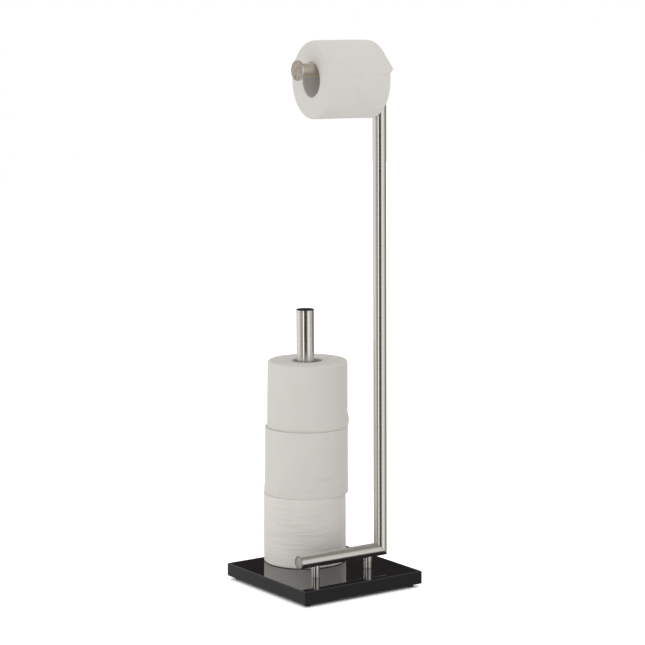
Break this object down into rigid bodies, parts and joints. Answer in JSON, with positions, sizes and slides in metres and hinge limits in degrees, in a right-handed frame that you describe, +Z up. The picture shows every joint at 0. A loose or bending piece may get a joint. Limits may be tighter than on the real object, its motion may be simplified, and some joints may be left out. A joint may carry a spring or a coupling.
{
  "type": "toilet roll holder",
  "caption": "Free-standing toilet roll holder: square black stone base, bent satin steel tube frame with a roll on its top arm, and an upright rod that carries a stack of spare rolls.",
  "frame": {"origin": "on the floor, under the middle of the object's bounding box", "axes": "+Z up, +X along the arm from its free end towards the upright, +Y from the frame towards the spare rod"},
  "size_m": [0.2, 0.2128, 0.773],
  "materials": {
    "polished_black_stone": "polished black stone, glossy",
    "black_rubber": "matte",
    "satin_steel": "satin stainless steel, brushed round the tubes",
    "zinc_plated_steel": "bright zinc plating",
    "black_plastic": "glossy black",
    "tissue_paper": "soft off-white tissue",
    "grey_cardboard": "matte grey board"
  },
  "bodies": {
    "stand": {"base_plate": "polished_black_stone", "foot_front_left": "black_rubber", "foot_front_right": "black_rubber", "foot_back_left": "black_rubber", "foot_back_right": "black_rubber", "bottom_rail": "satin_steel", "rail_end_plug": "satin_steel", "upright_tube": "satin_steel", "top_arm": "satin_steel", "arm_end_disc": "satin_steel", "rail_post_left": "satin_steel", "rail_post_right": "satin_steel", "post_left_screw": "zinc_plated_steel", "post_left_washer": "zinc_plated_steel", "post_right_screw": "zinc_plated_steel", "post_right_washer": "zinc_plated_steel", "spare_rod": "satin_steel", "rod_cap": "black_plastic", "rod_foot_plug": "zinc_plated_steel", "rod_screw": "zinc_plated_steel", "rod_washer": "zinc_plated_steel"},
    "top_core": {"top_roll_core": "grey_cardboard"},
    "top_roll": {"top_roll_paper": "tissue_paper", "top_roll_tail": "tissue_paper"},
    "spare_bottom": {"spare_paper_bottom": "tissue_paper", "spare_core_bottom": "grey_cardboard"},
    "spare_middle": {"spare_paper_middle": "tissue_paper", "spare_core_middle": "grey_cardboard"},
    "spare_top": {"spare_paper_top": "tissue_paper", "spare_core_top": "grey_cardboard"}
  },
  "joints": [
    {"name": "top_roll_slide", "type": "slide", "parent": "stand", "child": "top_core", "axis": [1, 0, 0], "range_m": [-0.0205, 0.003]},
    {"name": "top_roll_turn", "type": "hinge", "parent": "top_core", "child": "top_roll", "pos_m": [0.00467, -0.0481, 0.71863], "axis": [0.9969, -0.0785, 0], "continuous": true},
    {"name": "spare_bottom_lift", "type": "slide", "parent": "stand", "child": "spare_bottom", "axis": [0, 0, 1], "range_m": [0, 0.07]},
    {"name": "spare_middle_lift", "type": "slide", "parent": "spare_bottom", "child": "spare_middle", "axis": [0, 0, 1], "range_m": [0, 0.09]},
    {"name": "spare_top_lift", "type": "slide", "parent": "spare_middle", "child": "spare_top", "axis": [0, 0, 1], "range_m": [0, 0.175]}
  ]
}
